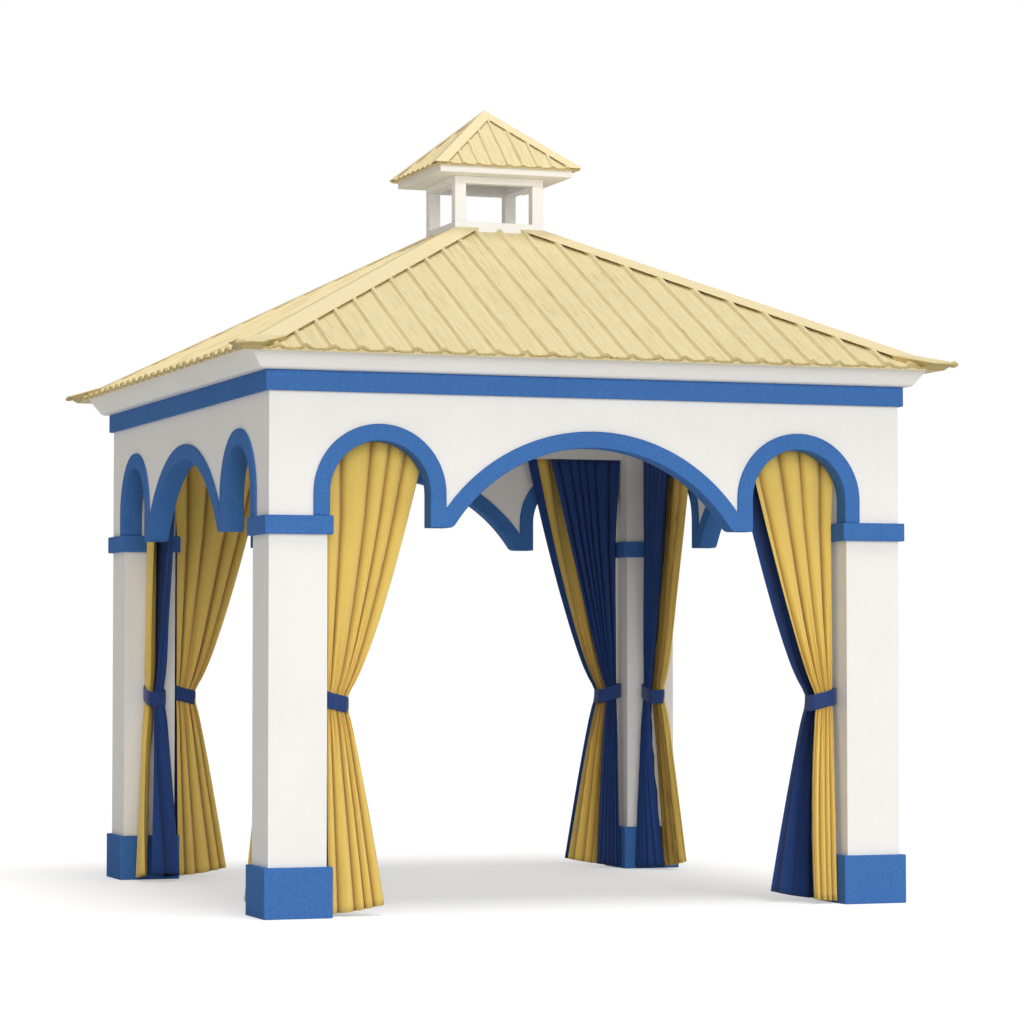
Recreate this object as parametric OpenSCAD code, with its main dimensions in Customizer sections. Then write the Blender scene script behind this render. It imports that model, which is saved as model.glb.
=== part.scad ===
// Square garden pavilion: four posts, arched wall panels with pendants, tied-back
// curtains, a ribbed hip roof and an open roof lantern. Millimetres, +Z up, the
// origin on the ground at the middle of the plan, the front towards -Y.

/* [Plan] */
// Width across the outer faces of the walls
wall_w = 3660; // [3300:10:4400]
// Side of each square post
post_w = 320; // [260:5:380]
// Thickness of the arched wall panels
panel_t = 90; // [70:5:120]
// Radius on the upright corners of plinths and capitals
corner_r = 6; // [2:1:12]

/* [Posts] */
// Height of the plinth round each post's foot
plinth_h = 270; // [150:5:400]
// How far plinth and capital stand out from the post
plinth_out = 28; // [15:1:45]
// Height of the top of the capital above the ground
capital_top = 2122; // [2060:2:2200]
// Height of the capital band
capital_h = 100; // [60:5:150]

/* [Arches] */
// Inner radius of the two narrow arches
small_r = 280; // [220:5:330]
// Height of the springing line of the narrow arches
spring_z = 2245; // [2180:5:2300]
// Height of the underside of the pendants
pendant_z = 2065; // [1980:5:2110]
// Width of a pendant across its foot
pendant_w = 128; // [90:2:180]
// Radius on the foot of a pendant, on the side of the wide arch
pendant_round = 45; // [15:5:60]
// Height of the underside of the wide arch at its crown
mid_apex = 2510; // [2440:5:2540]
// Width of the blue trim seen from the front
trim_w = 90; // [60:5:110]
// How far the trim stands out from the wall, inside and outside
trim_proud = 15; // [8:1:22]
// Thickness of the trim lining on a post's inner face
reveal_t = 12; // [8:1:20]

/* [Cornice] */
// Height of the top of the walls
wall_top = 2890; // [2860:5:3000]
// Height of the frieze band
frieze_h = 110; // [80:5:130]
// How far the frieze stands out from the wall
frieze_out = 25; // [15:1:40]
// Height of the crown moulding
crown_h = 110; // [90:5:140]
// How far the round of the crown's foot stands out from the wall, to its centre
crown_foot = 46; // [40:1:60]
// Radius of the round at the crown's foot
crown_round = 30; // [15:1:36]
// How far the head of the crown stands out from the wall
crown_head = 138; // [115:1:160]

/* [Frame] */
// Height of the underside of the header beams
header_z = 2660; // [2640:5:2720]
// Thickness of the header beams behind the panels
header_t = 140; // [120:5:160]
// Thickness of a hip rafter
rafter_t = 70; // [45:5:100]
// Depth of a hip rafter below the roof boards
rafter_d = 160; // [100:10:200]

/* [Roof] */
// Slope of the main roof in degrees
roof_slope = 27; // [22:0.5:32]
// How far the sheets run out past the head of the crown
eave_out = 50; // [20:2:70]
// Thickness of the roof boards
board_t = 20; // [15:1:28]
// Thickness of the ribbed sheet
sheet_t = 9; // [3:1:10]
// Spacing of the ribs on the main roof
rib_spacing = 153; // [120:1:220]
// Width of a rib across its foot
rib_w = 40; // [28:1:50]
// Height of a rib
rib_h = 18; // [10:1:24]
// Width of each wing of a hip cap
cap_w = 105; // [70:5:150]
// Thickness of a hip cap
cap_t = 4; // [2:1:6]
// How far the hip caps run out past the corner of the sheets
cap_out = 60; // [40:2:110]
// How far inside the corner of the sheets the end of a hip cap turns up
cap_bend = 110; // [60:5:160]
// Slope of the turned-up end of a hip cap in degrees
cap_end_slope = 16; // [12:0.5:19]

/* [Lantern] */
// Width of the lantern across its posts
lantern_w = 550; // [450:10:700]
// Height of the top of the lantern's sill
sill_top = 3930; // [3905:5:3980]
// Thickness of the lantern's sill boards
sill_t = 68; // [50:2:90]
// Clear height between the lantern's sill and its header
lantern_clear = 228; // [180:4:300]
// Height of the lantern's header
lantern_header_h = 42; // [30:2:60]
// Height of the lantern's fascia
fascia_h = 60; // [40:2:90]
// Width of the lantern's fascia from side to side
fascia_w = 820; // [700:10:900]
// Slope of the lantern's roof in degrees
lantern_slope = 40.5; // [34:0.5:46]
// How far the lantern's sheets run out past its fascia
lantern_eave = 26; // [15:1:40]
// How far the lantern's sheets stop short of the peak, under the hip caps
lantern_peak = 12; // [6:1:30]
// Spacing of the ribs on the lantern's roof
lantern_rib_spacing = 92; // [75:1:120]
// Width of each wing of the lantern's hip caps
lantern_cap_w = 52; // [35:1:70]
// How far the lantern's hip caps run out past the corner of its sheets
lantern_cap_out = 16; // [8:1:30]

/* [Curtains] */
// Height of the curtain's hem above the ground
hem_z = 15; // [10:1:60]
// Depth of a gathered curtain, from outside to inside
curtain_t = 108; // [70:2:120]
// Gap between a curtain and the trim of the wall in front of it
curtain_gap = 14; // [10:1:25]
// Gap between a curtain and the plinth or capital beside it
curtain_side_gap = 7; // [4:1:15]
// Width of a curtain at its heading
heading_w = 590; // [450:10:700]
// Width of a curtain at its tie-back
waist_w = 122; // [90:2:160]
// Width of a curtain at its hem
hem_w = 310; // [220:10:380]
// How far the skirt below the tie-back spreads at the hem, outward and inward
skirt_out = 85; // [0:5:110]
// Height of the middle of the tie-backs
tie_z = 1135; // [950:5:1300]
// Height of a tie-back band
tie_h = 90; // [60:5:120]
// Thickness of a tie-back band
tie_t = 6; // [3:1:10]
// Clearance between a tie-back and the curtain
tie_gap = 0.5; // [0.3:0.1:2]

/* [Hidden] */
$fn = 64;
ARCH_FN = 240;

WHITE = "#f2f1ee";
BLUE = "#3f6fb5";
NAVY = "#26477f";
STRAW = "#ead9a4";
GOLD = "#e2bb55";

// Plan: the sides are numbered front, right, back, left, a quarter turn apart
FRONT = 0;
RIGHT = 1;
BACK = 2;
LEFT = 3;
half_w = wall_w / 2;
post_in = half_w - post_w;
panel_in = half_w - panel_t;
far = 2 * wall_w;

// Arches, as (x, z) on the face of a wall
trim_r = small_r + trim_w;
arch_x = post_in - reveal_t - small_r;
pendant_x = arch_x - small_r - pendant_w;
mid_rise = mid_apex - pendant_z;
mid_r = (pendant_x * pendant_x + mid_rise * mid_rise) / (2 * mid_rise);
mid_z = mid_apex - mid_r;

// Main roof: heights at a distance h from the middle of the plan
crown_half = half_w + crown_head;
crown_top = wall_top + crown_h;
eave_half = crown_half + eave_out;
cap_half = eave_half + cap_out;
board_rise = board_t / cos(roof_slope);
function sheet_z(h) = crown_top + (crown_half - h) * tan(roof_slope);
function board_z(h) = sheet_z(h) - board_rise;

// Lantern
lantern_half = lantern_w / 2;
sill_bottom = board_z(lantern_half) - rafter_d / 2;
header_bottom = sill_top + lantern_clear;
fascia_bottom = header_bottom + lantern_header_h;
fascia_half = fascia_w / 2;
lantern_eave_half = fascia_half + lantern_eave;
lantern_rib_w = rib_w * 0.6;
lantern_rib_h = rib_h * 0.6;
function lantern_z(h) = fascia_bottom + fascia_h + (fascia_half - h) * tan(lantern_slope);

// Curtains, in the frame of the front wall's right-hand end
curtain_post_x = post_in - plinth_out - curtain_side_gap;
curtain_out_y = panel_in - trim_proud - curtain_gap;
curtain_in_y = curtain_out_y - curtain_t;
waist_x = curtain_post_x - waist_w;
CURTAIN_STEPS = 10;
HEAD_BULGE = 0.75;
HEM_BULGE = 0.85;

// Shared shapes

// Turns children from the front wall to the numbered side
module on_side(side) rotate([0, 0, 90 * side]) children();

// Square outline with round corners, centred
module rounded_square(w, r) {
  square([w, w - 2 * r], center = true);
  square([w - 2 * r, w], center = true);
  for (x = [-1, 1], y = [-1, 1]) translate([x * (w / 2 - r), y * (w / 2 - r)]) circle(r);
}

// Part of the plan that belongs to the front, outside a square of half-width inner
module front_quarter(inner)
  translate([0, 0, -far]) linear_extrude(2 * far)
    polygon([[-inner, -inner], [-far, -far], [far, -far], [inner, -inner]]);

// Carries an outline drawn as (distance from the middle, height) along the front,
// and mitres both ends
module mitred_run(inner = 0)
  intersection() {
    rotate([90, 0, -90]) linear_extrude(2 * far, center = true) children();
    front_quarter(inner);
  }

// Lays a piece drawn flat, x across and y up the slope, on the front slope
module on_slope(h, z, pitch) translate([0, -h, z]) rotate([pitch, 0, 0]) children();

// Section across a ribbed sheet: x across, y off the slope
module ribbed_section(half, thick, pitch, foot, high) {
  flank = foot / 4;
  count = floor((half - foot) / pitch);
  ribs = [for (i = [count : -1 : -count]) each [
    [i * pitch + foot / 2, thick],
    [i * pitch + foot / 2 - flank, thick + high],
    [i * pitch - foot / 2 + flank, thick + high],
    [i * pitch - foot / 2, thick]
  ]];
  edge = half + thick + high;
  polygon(concat([[-edge, thick], [-edge, 0], [edge, 0], [edge, thick]], ribs));
}

// Ribbed sheet on the front slope, mitred on the hips
module ribbed_sheet(half, z, pitch, inner, thick, rib_gap, foot, high)
  intersection() {
    on_slope(half, z, pitch)
      translate([0, far, 0]) rotate([90, 0, 0]) linear_extrude(far)
        ribbed_section(half, thick, rib_gap, foot, high);
    front_quarter(inner);
  }

// One wing of a hip cap, beside the front right hip: a plate whose underside passes
// through height z at distance h from the middle, between two distances from it
module hip_wing(h, z, pitch, from, to, wing)
  intersection() {
    on_slope(h, z, pitch) translate([-far, -far, 0]) cube([2 * far, 2 * far, cap_t]);
    rotate([0, 0, -45]) translate([0, -wing, 0]) cube([far, wing, far]);
    translate([0, -to, 0]) cube([to, to - from, far]);
  }

// Hip cap on the front right hip: two wings folded along the hip
module hip_fold(h, z, pitch, from, to, wing) {
  hip_wing(h, z, pitch, from, to, wing);
  on_side(RIGHT) mirror([1, 0, 0]) hip_wing(h, z, pitch, from, to, wing);
}

// Posts

// Post at the front right corner
module post() color(WHITE)
  translate([half_w - post_w / 2, -half_w + post_w / 2, 0]) linear_extrude(wall_top)
    square(post_w, center = true);

// Square band round a post
module post_band(z, high)
  translate([half_w - post_w / 2, -half_w + post_w / 2, z]) linear_extrude(high)
    difference() {
      rounded_square(post_w + 2 * plinth_out, corner_r);
      square(post_w, center = true);
    }

module plinths() color(BLUE) for (side = [FRONT : LEFT]) on_side(side) post_band(0, plinth_h);

module capitals() color(BLUE)
  for (side = [FRONT : LEFT]) on_side(side) post_band(capital_top - capital_h, capital_h);

// Arched walls

// Three arches side by side: narrow, wide, narrow, all grown by grow
module arches(grow) {
  leg = small_r + grow;
  for (x = [-arch_x, arch_x]) {
    translate([x, spring_z]) circle(leg, $fn = ARCH_FN);
    translate([x - leg, 0]) square([2 * leg, spring_z]);
  }
  translate([0, mid_z]) circle(mid_r + grow, $fn = ARCH_FN);
}

// Corner of a pendant's foot that its rounding takes away, on the right-hand pendant
module pendant_corner() {
  r = pendant_round;
  cz = pendant_z + r;
  cx = sqrt(pow(mid_r + r, 2) - pow(cz - mid_z, 2));
  touch = mid_r / (mid_r + r);
  difference() {
    polygon([
      [pendant_x - r, pendant_z - r], [cx, pendant_z - r], [cx, cz],
      [cx * touch, mid_z + (cz - mid_z) * touch]
    ]);
    translate([cx, cz]) circle(r, $fn = ARCH_FN);
  }
}

// Outline of the trim: the arches' edge, down to the capitals and the pendants' feet
module trim_outline()
  difference() {
    intersection() {
      arches(trim_w);
      union() {
        translate([-arch_x, pendant_z]) square([2 * arch_x, wall_top - pendant_z]);
        translate([-arch_x - trim_r, capital_top]) square([2 * (arch_x + trim_r), wall_top - capital_top]);
      }
    }
    arches(0);
    for (side = [0, 1]) mirror([side, 0]) pendant_corner();
  }

// Stands an outline drawn as (x, z) between two distances from the middle, on the front
module upright(from, to) translate([0, -from, 0]) rotate([90, 0, 0]) linear_extrude(to - from) children();

// White panel between two posts, over the arches
module arch_panel() color(WHITE)
  upright(panel_in, half_w)
    difference() {
      translate([-post_in, capital_top]) square([2 * post_in, wall_top - capital_top]);
      arches(trim_w);
    }

// Blue trim that lines the arches right through and stands out on both faces
module arch_trim() color(BLUE) {
  upright(half_w, half_w + trim_proud) trim_outline();
  upright(panel_in - trim_proud, half_w + trim_proud)
    intersection() {
      trim_outline();
      translate([-post_in, 0]) square([2 * post_in, wall_top]);
    }
}

// Cornice

module frieze() color(BLUE)
  mitred_run() translate([half_w, wall_top - frieze_h]) square([frieze_out, frieze_h]);

// Crown moulding with a splayed face and a round foot, its top cut to the slope of the roof
module crown() color(WHITE)
  mitred_run() {
    centre = [half_w + crown_foot, wall_top + crown_round];
    head = [crown_half, crown_top];
    reach = head - centre;
    turn = atan2(reach[1], reach[0]) - acos(crown_round / norm(reach));
    touch = centre + crown_round * [cos(turn), sin(turn)];
    polygon([[half_w, wall_top], [centre[0], wall_top], touch, head, [half_w, sheet_z(half_w)]]);
    translate(centre) circle(crown_round);
  }

// Timber frame behind the walls and under the roof

module header_beams() color(WHITE)
  for (side = [FRONT : LEFT]) on_side(side)
    translate([-post_in, -panel_in, header_z]) cube([2 * post_in, header_t, wall_top - header_z]);

module wall_plate() color(WHITE)
  mitred_run()
    polygon([[panel_in, wall_top], [half_w, wall_top], [half_w, board_z(half_w)], [panel_in, board_z(panel_in)]]);

// Everything under the front slope's boards, within rafter_d of them
module under_slope()
  rotate([90, 0, -90]) linear_extrude(2 * far, center = true)
    polygon([
      [0, board_z(0) - rafter_d], [half_w, board_z(half_w) - rafter_d],
      [half_w, board_z(half_w)], [0, board_z(0)]
    ]);

// Hip rafter at the front right, from the plates' corner to the lantern's sill
module hip_rafter() color(WHITE)
  difference() {
    intersection() {
      rotate([0, 0, -45]) translate([0, -rafter_t / 2, 0]) cube([far, rafter_t, far]);
      translate([0, -panel_in, 0]) cube([panel_in, panel_in, far]);
      under_slope();
      on_side(RIGHT) under_slope();
    }
    translate([-lantern_half, -lantern_half, 0]) cube([2 * lantern_half, 2 * lantern_half, far]);
  }

module hip_rafters() for (side = [FRONT : LEFT]) on_side(side) hip_rafter();

// Roof

module roof_boards() color(WHITE)
  mitred_run(lantern_half)
    polygon([[0, board_z(0)], [half_w, board_z(half_w)], [half_w, sheet_z(half_w)], [0, sheet_z(0)]]);

module roof_sheet() color(STRAW)
  ribbed_sheet(eave_half, sheet_z(eave_half), roof_slope, lantern_half, sheet_t, rib_spacing, rib_w, rib_h);

// Hip cap lying on the ribs from the lantern's sill down, its end turned up
module hip_caps() color(STRAW)
  for (side = [FRONT : LEFT]) on_side(side) {
    bend = eave_half - cap_bend;
    bend_z = sheet_z(bend) + (sheet_t + rib_h) / cos(roof_slope);
    hip_fold(bend, bend_z, roof_slope, lantern_half, bend, cap_w);
    hip_fold(bend, bend_z, cap_end_slope, bend, cap_half, cap_w);
  }

// Lantern

// Square frame round the lantern's middle
module square_frame(half, thick, z, high)
  translate([0, 0, z]) linear_extrude(high)
    difference() {
      square(2 * half, center = true);
      square(2 * (half - thick), center = true);
    }

module lantern_sill() color(WHITE) square_frame(lantern_half, sill_t, sill_bottom, sill_top - sill_bottom);

module lantern_posts() color(WHITE)
  for (side = [FRONT : LEFT]) on_side(side)
    translate([lantern_half - sill_t, -lantern_half, sill_top]) cube([sill_t, sill_t, lantern_clear]);

module lantern_header() color(WHITE) square_frame(lantern_half, sill_t, header_bottom, lantern_header_h);

// Soffit and fascia in one, its top cut to the slope of the lantern's roof
module lantern_eave() color(WHITE)
  for (side = [FRONT : LEFT]) on_side(side)
    mitred_run() {
      inner = lantern_half - sill_t;
      polygon([
        [inner, fascia_bottom], [fascia_half, fascia_bottom],
        [fascia_half, lantern_z(fascia_half)], [inner, lantern_z(inner)]
      ]);
    }

module lantern_sheet() color(STRAW)
  ribbed_sheet(lantern_eave_half, lantern_z(lantern_eave_half), lantern_slope, lantern_peak, sheet_t,
               lantern_rib_spacing, lantern_rib_w, lantern_rib_h);

module lantern_hip_caps() color(STRAW)
  for (side = [FRONT : LEFT]) on_side(side)
    hip_fold(0, lantern_z(0) + (sheet_t + lantern_rib_h) / cos(lantern_slope), lantern_slope,
             0, lantern_eave_half + lantern_cap_out, lantern_cap_w);

// Curtains

// Width of a curtain at height z: gathered at the tie-back, spreading above and below it
function curtain_w(z) =
  z > tie_z
    ? waist_w + (heading_w - waist_w)
      * pow(max(0, z - tie_z - tie_h / 2) / (header_z - tie_z - tie_h / 2), HEAD_BULGE)
    : waist_w + (hem_w - waist_w)
      * pow(max(0, tie_z - tie_h / 2 - z) / (tie_z - tie_h / 2 - hem_z), HEM_BULGE);

// Side view of a curtain, carried along the front: even above the tie-back, spread below it
module curtain_side()
  rotate([90, 0, -90]) linear_extrude(2 * far, center = true)
    polygon([
      [curtain_in_y, header_z], [curtain_out_y, header_z], [curtain_out_y, tie_z - tie_h / 2],
      [curtain_out_y + skirt_out, hem_z], [curtain_in_y - skirt_out, hem_z], [curtain_in_y, tie_z - tie_h / 2]
    ]);

// Gathered curtain at the right-hand end of the front wall
module curtain() color(GOLD) {
  top = [for (i = [CURTAIN_STEPS : -1 : 0])
    tie_z + tie_h / 2 + (header_z - tie_z - tie_h / 2) * i / CURTAIN_STEPS];
  bottom = [for (i = [0 : CURTAIN_STEPS])
    tie_z - tie_h / 2 - (tie_z - tie_h / 2 - hem_z) * i / CURTAIN_STEPS];
  intersection() {
    upright(curtain_in_y - skirt_out, curtain_out_y + skirt_out)
      polygon(concat(
        [[curtain_post_x, hem_z], [curtain_post_x, header_z]],
        [for (z = concat(top, bottom)) [curtain_post_x - curtain_w(z), z]]
      ));
    curtain_side();
  }
}

// Band round the waist of that curtain, fastened to the post
module tie_back() color(NAVY)
  translate([0, 0, tie_z - tie_h / 2]) linear_extrude(tie_h)
    difference() {
      translate([waist_x - tie_gap - tie_t, -curtain_out_y - tie_gap - tie_t])
        square([post_in - waist_x + tie_gap + tie_t, curtain_t + 2 * tie_gap + 2 * tie_t]);
      translate([waist_x - tie_gap, -curtain_out_y - tie_gap])
        square([waist_w + 2 * tie_gap, curtain_t + 2 * tie_gap]);
    }

module tie_backs()
  for (side = [FRONT : LEFT], end = [0, 1]) on_side(side) mirror([end, 0, 0]) tie_back();

on_side(FRONT) post();  // post_front_right
on_side(RIGHT) post();  // post_back_right
on_side(BACK) post();  // post_back_left
on_side(LEFT) post();  // post_front_left
plinths();
capitals();
on_side(FRONT) arch_panel();  // arch_panel_front
on_side(RIGHT) arch_panel();  // arch_panel_right
on_side(BACK) arch_panel();  // arch_panel_back
on_side(LEFT) arch_panel();  // arch_panel_left
on_side(FRONT) arch_trim();  // arch_trim_front
on_side(RIGHT) arch_trim();  // arch_trim_right
on_side(BACK) arch_trim();  // arch_trim_back
on_side(LEFT) arch_trim();  // arch_trim_left
for (side = [FRONT, BACK]) on_side(side) frieze();  // frieze_front_back
for (side = [RIGHT, LEFT]) on_side(side) frieze();  // frieze_sides
for (side = [FRONT, BACK]) on_side(side) crown();  // crown_front_back
for (side = [RIGHT, LEFT]) on_side(side) crown();  // crown_sides
header_beams();
for (side = [FRONT, BACK]) on_side(side) wall_plate();  // wall_plates_front_back
for (side = [RIGHT, LEFT]) on_side(side) wall_plate();  // wall_plates_sides
hip_rafters();
for (side = [FRONT, BACK]) on_side(side) roof_boards();  // roof_boards_front_back
for (side = [RIGHT, LEFT]) on_side(side) roof_boards();  // roof_boards_sides
on_side(FRONT) roof_sheet();  // roof_sheet_front
on_side(RIGHT) roof_sheet();  // roof_sheet_right
on_side(BACK) roof_sheet();  // roof_sheet_back
on_side(LEFT) roof_sheet();  // roof_sheet_left
hip_caps();
lantern_sill();
lantern_posts();
lantern_header();
lantern_eave();
for (side = [FRONT, BACK]) on_side(side) lantern_sheet();  // lantern_sheets_front_back
for (side = [RIGHT, LEFT]) on_side(side) lantern_sheet();  // lantern_sheets_sides
lantern_hip_caps();
on_side(FRONT) curtain();  // curtain_front_right
on_side(FRONT) mirror([1, 0, 0]) curtain();  // curtain_front_left
on_side(RIGHT) curtain();  // curtain_right_back
on_side(RIGHT) mirror([1, 0, 0]) curtain();  // curtain_right_front
on_side(BACK) curtain();  // curtain_back_left
on_side(BACK) mirror([1, 0, 0]) curtain();  // curtain_back_right
on_side(LEFT) curtain();  // curtain_left_front
on_side(LEFT) mirror([1, 0, 0]) curtain();  // curtain_left_back
tie_backs();
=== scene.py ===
"""Looks of a square garden pavilion: painted frame, ribbed sheet roof and tied-back curtains.

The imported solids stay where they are. This script softens the edges of the rigid pieces,
hangs cloth in the place of the curtain solids and gives every surface its finish.
"""

import logging
import math
from dataclasses import dataclass
from enum import Enum
from typing import Any

import bmesh
import bpy
import numpy as np
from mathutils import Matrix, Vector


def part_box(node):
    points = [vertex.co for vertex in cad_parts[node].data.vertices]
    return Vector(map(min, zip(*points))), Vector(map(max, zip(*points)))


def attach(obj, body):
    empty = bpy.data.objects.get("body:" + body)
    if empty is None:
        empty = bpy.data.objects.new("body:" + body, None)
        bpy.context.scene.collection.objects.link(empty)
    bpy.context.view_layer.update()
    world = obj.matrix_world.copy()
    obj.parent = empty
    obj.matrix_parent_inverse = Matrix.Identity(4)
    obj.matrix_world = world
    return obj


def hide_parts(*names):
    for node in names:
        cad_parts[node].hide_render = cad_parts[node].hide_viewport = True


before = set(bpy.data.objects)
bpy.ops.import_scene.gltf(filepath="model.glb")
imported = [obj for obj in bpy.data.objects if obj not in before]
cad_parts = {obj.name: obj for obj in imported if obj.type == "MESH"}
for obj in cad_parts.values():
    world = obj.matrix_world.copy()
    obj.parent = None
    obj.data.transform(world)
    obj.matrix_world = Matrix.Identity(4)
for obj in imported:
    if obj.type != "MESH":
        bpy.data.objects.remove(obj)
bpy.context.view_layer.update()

LOG = logging.getLogger("pavilion")
BODY = "root"
SIDES = ("front", "right", "back", "left")
QUARTER_TURN = math.pi / 2
FULL_TURN = 2 * math.pi
CUT = "cut"  # the map that lays a piece out flat, in metres
HALVINGS = 24  # steps of a search by halving
NEAR = 1e-3  # lengths that differ by less, in metres, count as the same
MERGED = 1e-5  # points that lie closer, in metres, become one
FLAT_ANGLE = math.radians(0.4)  # faces that turn by less become one
HARD_ANGLE = math.radians(40)  # edges that turn by more are rounded
PLEAT_SHADE = "pleat_shade"  # painted shade, by how deep in a pleat each point of a cloth lies, 0 to 1

Array = np.ndarray
Material = bpy.types.Material
Node = bpy.types.Node
Object = bpy.types.Object
Outputs = bpy.types.NodeOutputs
Socket = bpy.types.NodeSocket
Tree = bpy.types.NodeTree
Colour = tuple[float, float, float, float]
WHITE: Colour = (1.0, 1.0, 1.0, 1.0)


def linear(code: str) -> Colour:
    """Turns a six-digit screen colour into the linear colour that shaders take.

    Args:
        code: the colour as "#rrggbb".

    Returns:
        Red, green, blue and an alpha of 1.
    """
    screen = np.array([int(code[i : i + 2], 16) for i in (1, 3, 5)]) / 255
    values = np.where(screen <= 0.04045, screen / 12.92, ((screen + 0.055) / 1.055) ** 2.4)
    return (*(float(v) for v in values), 1.0)


class Axis(Enum):
    """The direction of the row frame that a grain or a board runs across."""

    X = 0
    Y = 1
    Z = 2


# Shader building


class Graph:
    """Adds shader nodes to a tree and wires them together."""

    def __init__(self, tree: Tree) -> None:
        """Keeps the tree that nodes are added to."""
        self.tree = tree

    def add(self, kind: str, values: dict[Any, Any] | None = None, **settings: Any) -> Node:
        """Adds a node.

        Args:
            kind: the node's type name.
            values: what its inputs are fed.
            settings: properties of the node itself.

        Returns:
            The new node.
        """
        node = self.tree.nodes.new(kind)
        for name, value in settings.items():
            setattr(node, name, value)
        self.feed(node, values or {})
        return node

    def feed(self, node: Node, values: dict[Any, Any]) -> None:
        """Fills a node's inputs.

        Args:
            node: the node.
            values: input name or index to a value, or to the socket that feeds it.
        """
        for key, value in values.items():
            if isinstance(value, Socket):
                self.tree.links.new(value, node.inputs[key])
            else:
                node.inputs[key].default_value = value

    def mix(self, factor: Any, first: Any, second: Any) -> Socket:
        """Blends two colours by a factor and gives the colour socket."""
        values = {0: factor, 6: first, 7: second}
        return self.add("ShaderNodeMix", values, data_type="RGBA").outputs[2]

    def tint(self, tone: Any, mask: Any, share: float, colour: Colour) -> Socket:
        """Lays a colour over a tone by a share of a mask and gives the colour socket."""
        return self.mix(self.math("MULTIPLY", mask, share), tone, colour)

    def math(self, operation: str, first: Any, second: Any = 0.0) -> Socket:
        """Applies one arithmetic step and gives its value socket."""
        return self.add("ShaderNodeMath", {0: first, 1: second}, operation=operation).outputs[0]

    def spread(
        self, value: Any, low: float = 0, high: float = 1, to_low: float = 0, to_high: float = 1
    ) -> Socket:
        """Maps a value from low..high to to_low..to_high, held at both ends."""
        values = {"Value": value, "From Min": low, "From Max": high}
        values |= {"To Min": to_low, "To Max": to_high}
        return self.add("ShaderNodeMapRange", values).outputs[0]

    def noise(self, vector: Any, scale: Any, detail: float, rough: float = 0.5) -> Socket:
        """Adds cloudy noise and gives its value socket."""
        values = {"Vector": vector, "Scale": scale, "Detail": detail, "Roughness": rough}
        return self.add("ShaderNodeTexNoise", values).outputs["Fac"]

    def group(self, tree: Tree, values: dict[str, Any]) -> Outputs:
        """Places a shared node group with its own values and gives its outputs."""
        return self.add("ShaderNodeGroup", values, node_tree=tree).outputs


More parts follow.
